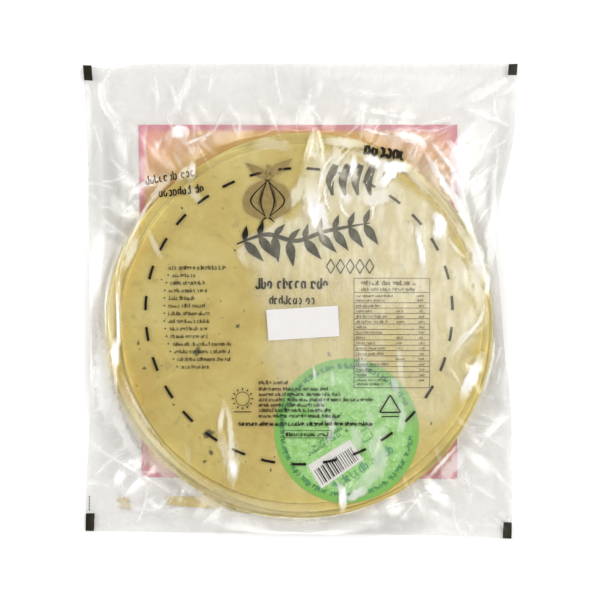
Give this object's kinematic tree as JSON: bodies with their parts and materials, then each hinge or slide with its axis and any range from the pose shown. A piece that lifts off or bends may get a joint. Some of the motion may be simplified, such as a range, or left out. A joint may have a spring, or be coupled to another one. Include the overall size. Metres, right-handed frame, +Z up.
{
  "type": "sealed film bag of round papadums",
  "caption": "Flat clear film bag, sealed at its edges, drawn over a low round stack of thin flatbreads, with wrinkled margins and pleated corners. It lies on its back.",
  "frame": {"origin": "on the table, under the centre of the bag's box", "axes": "+X to the right of the shown side, +Y to its top edge, +Z up, out of the shown side"},
  "size_m": [0.2074, 0.2268, 0.0125],
  "materials": {
    "film": "clear thin film, glossy and slightly milky, wrinkled",
    "bread": "dry pale yellow flatbread with dark specks, satin",
    "card": "smooth printed paper, pink at its border and orange inside",
    "label": "smooth green and white printed paper",
    "ink": "thin printed ink, black and opaque white"
  },
  "bodies": {
    "root": {"bag": "film"}
  },
  "joints": []
}
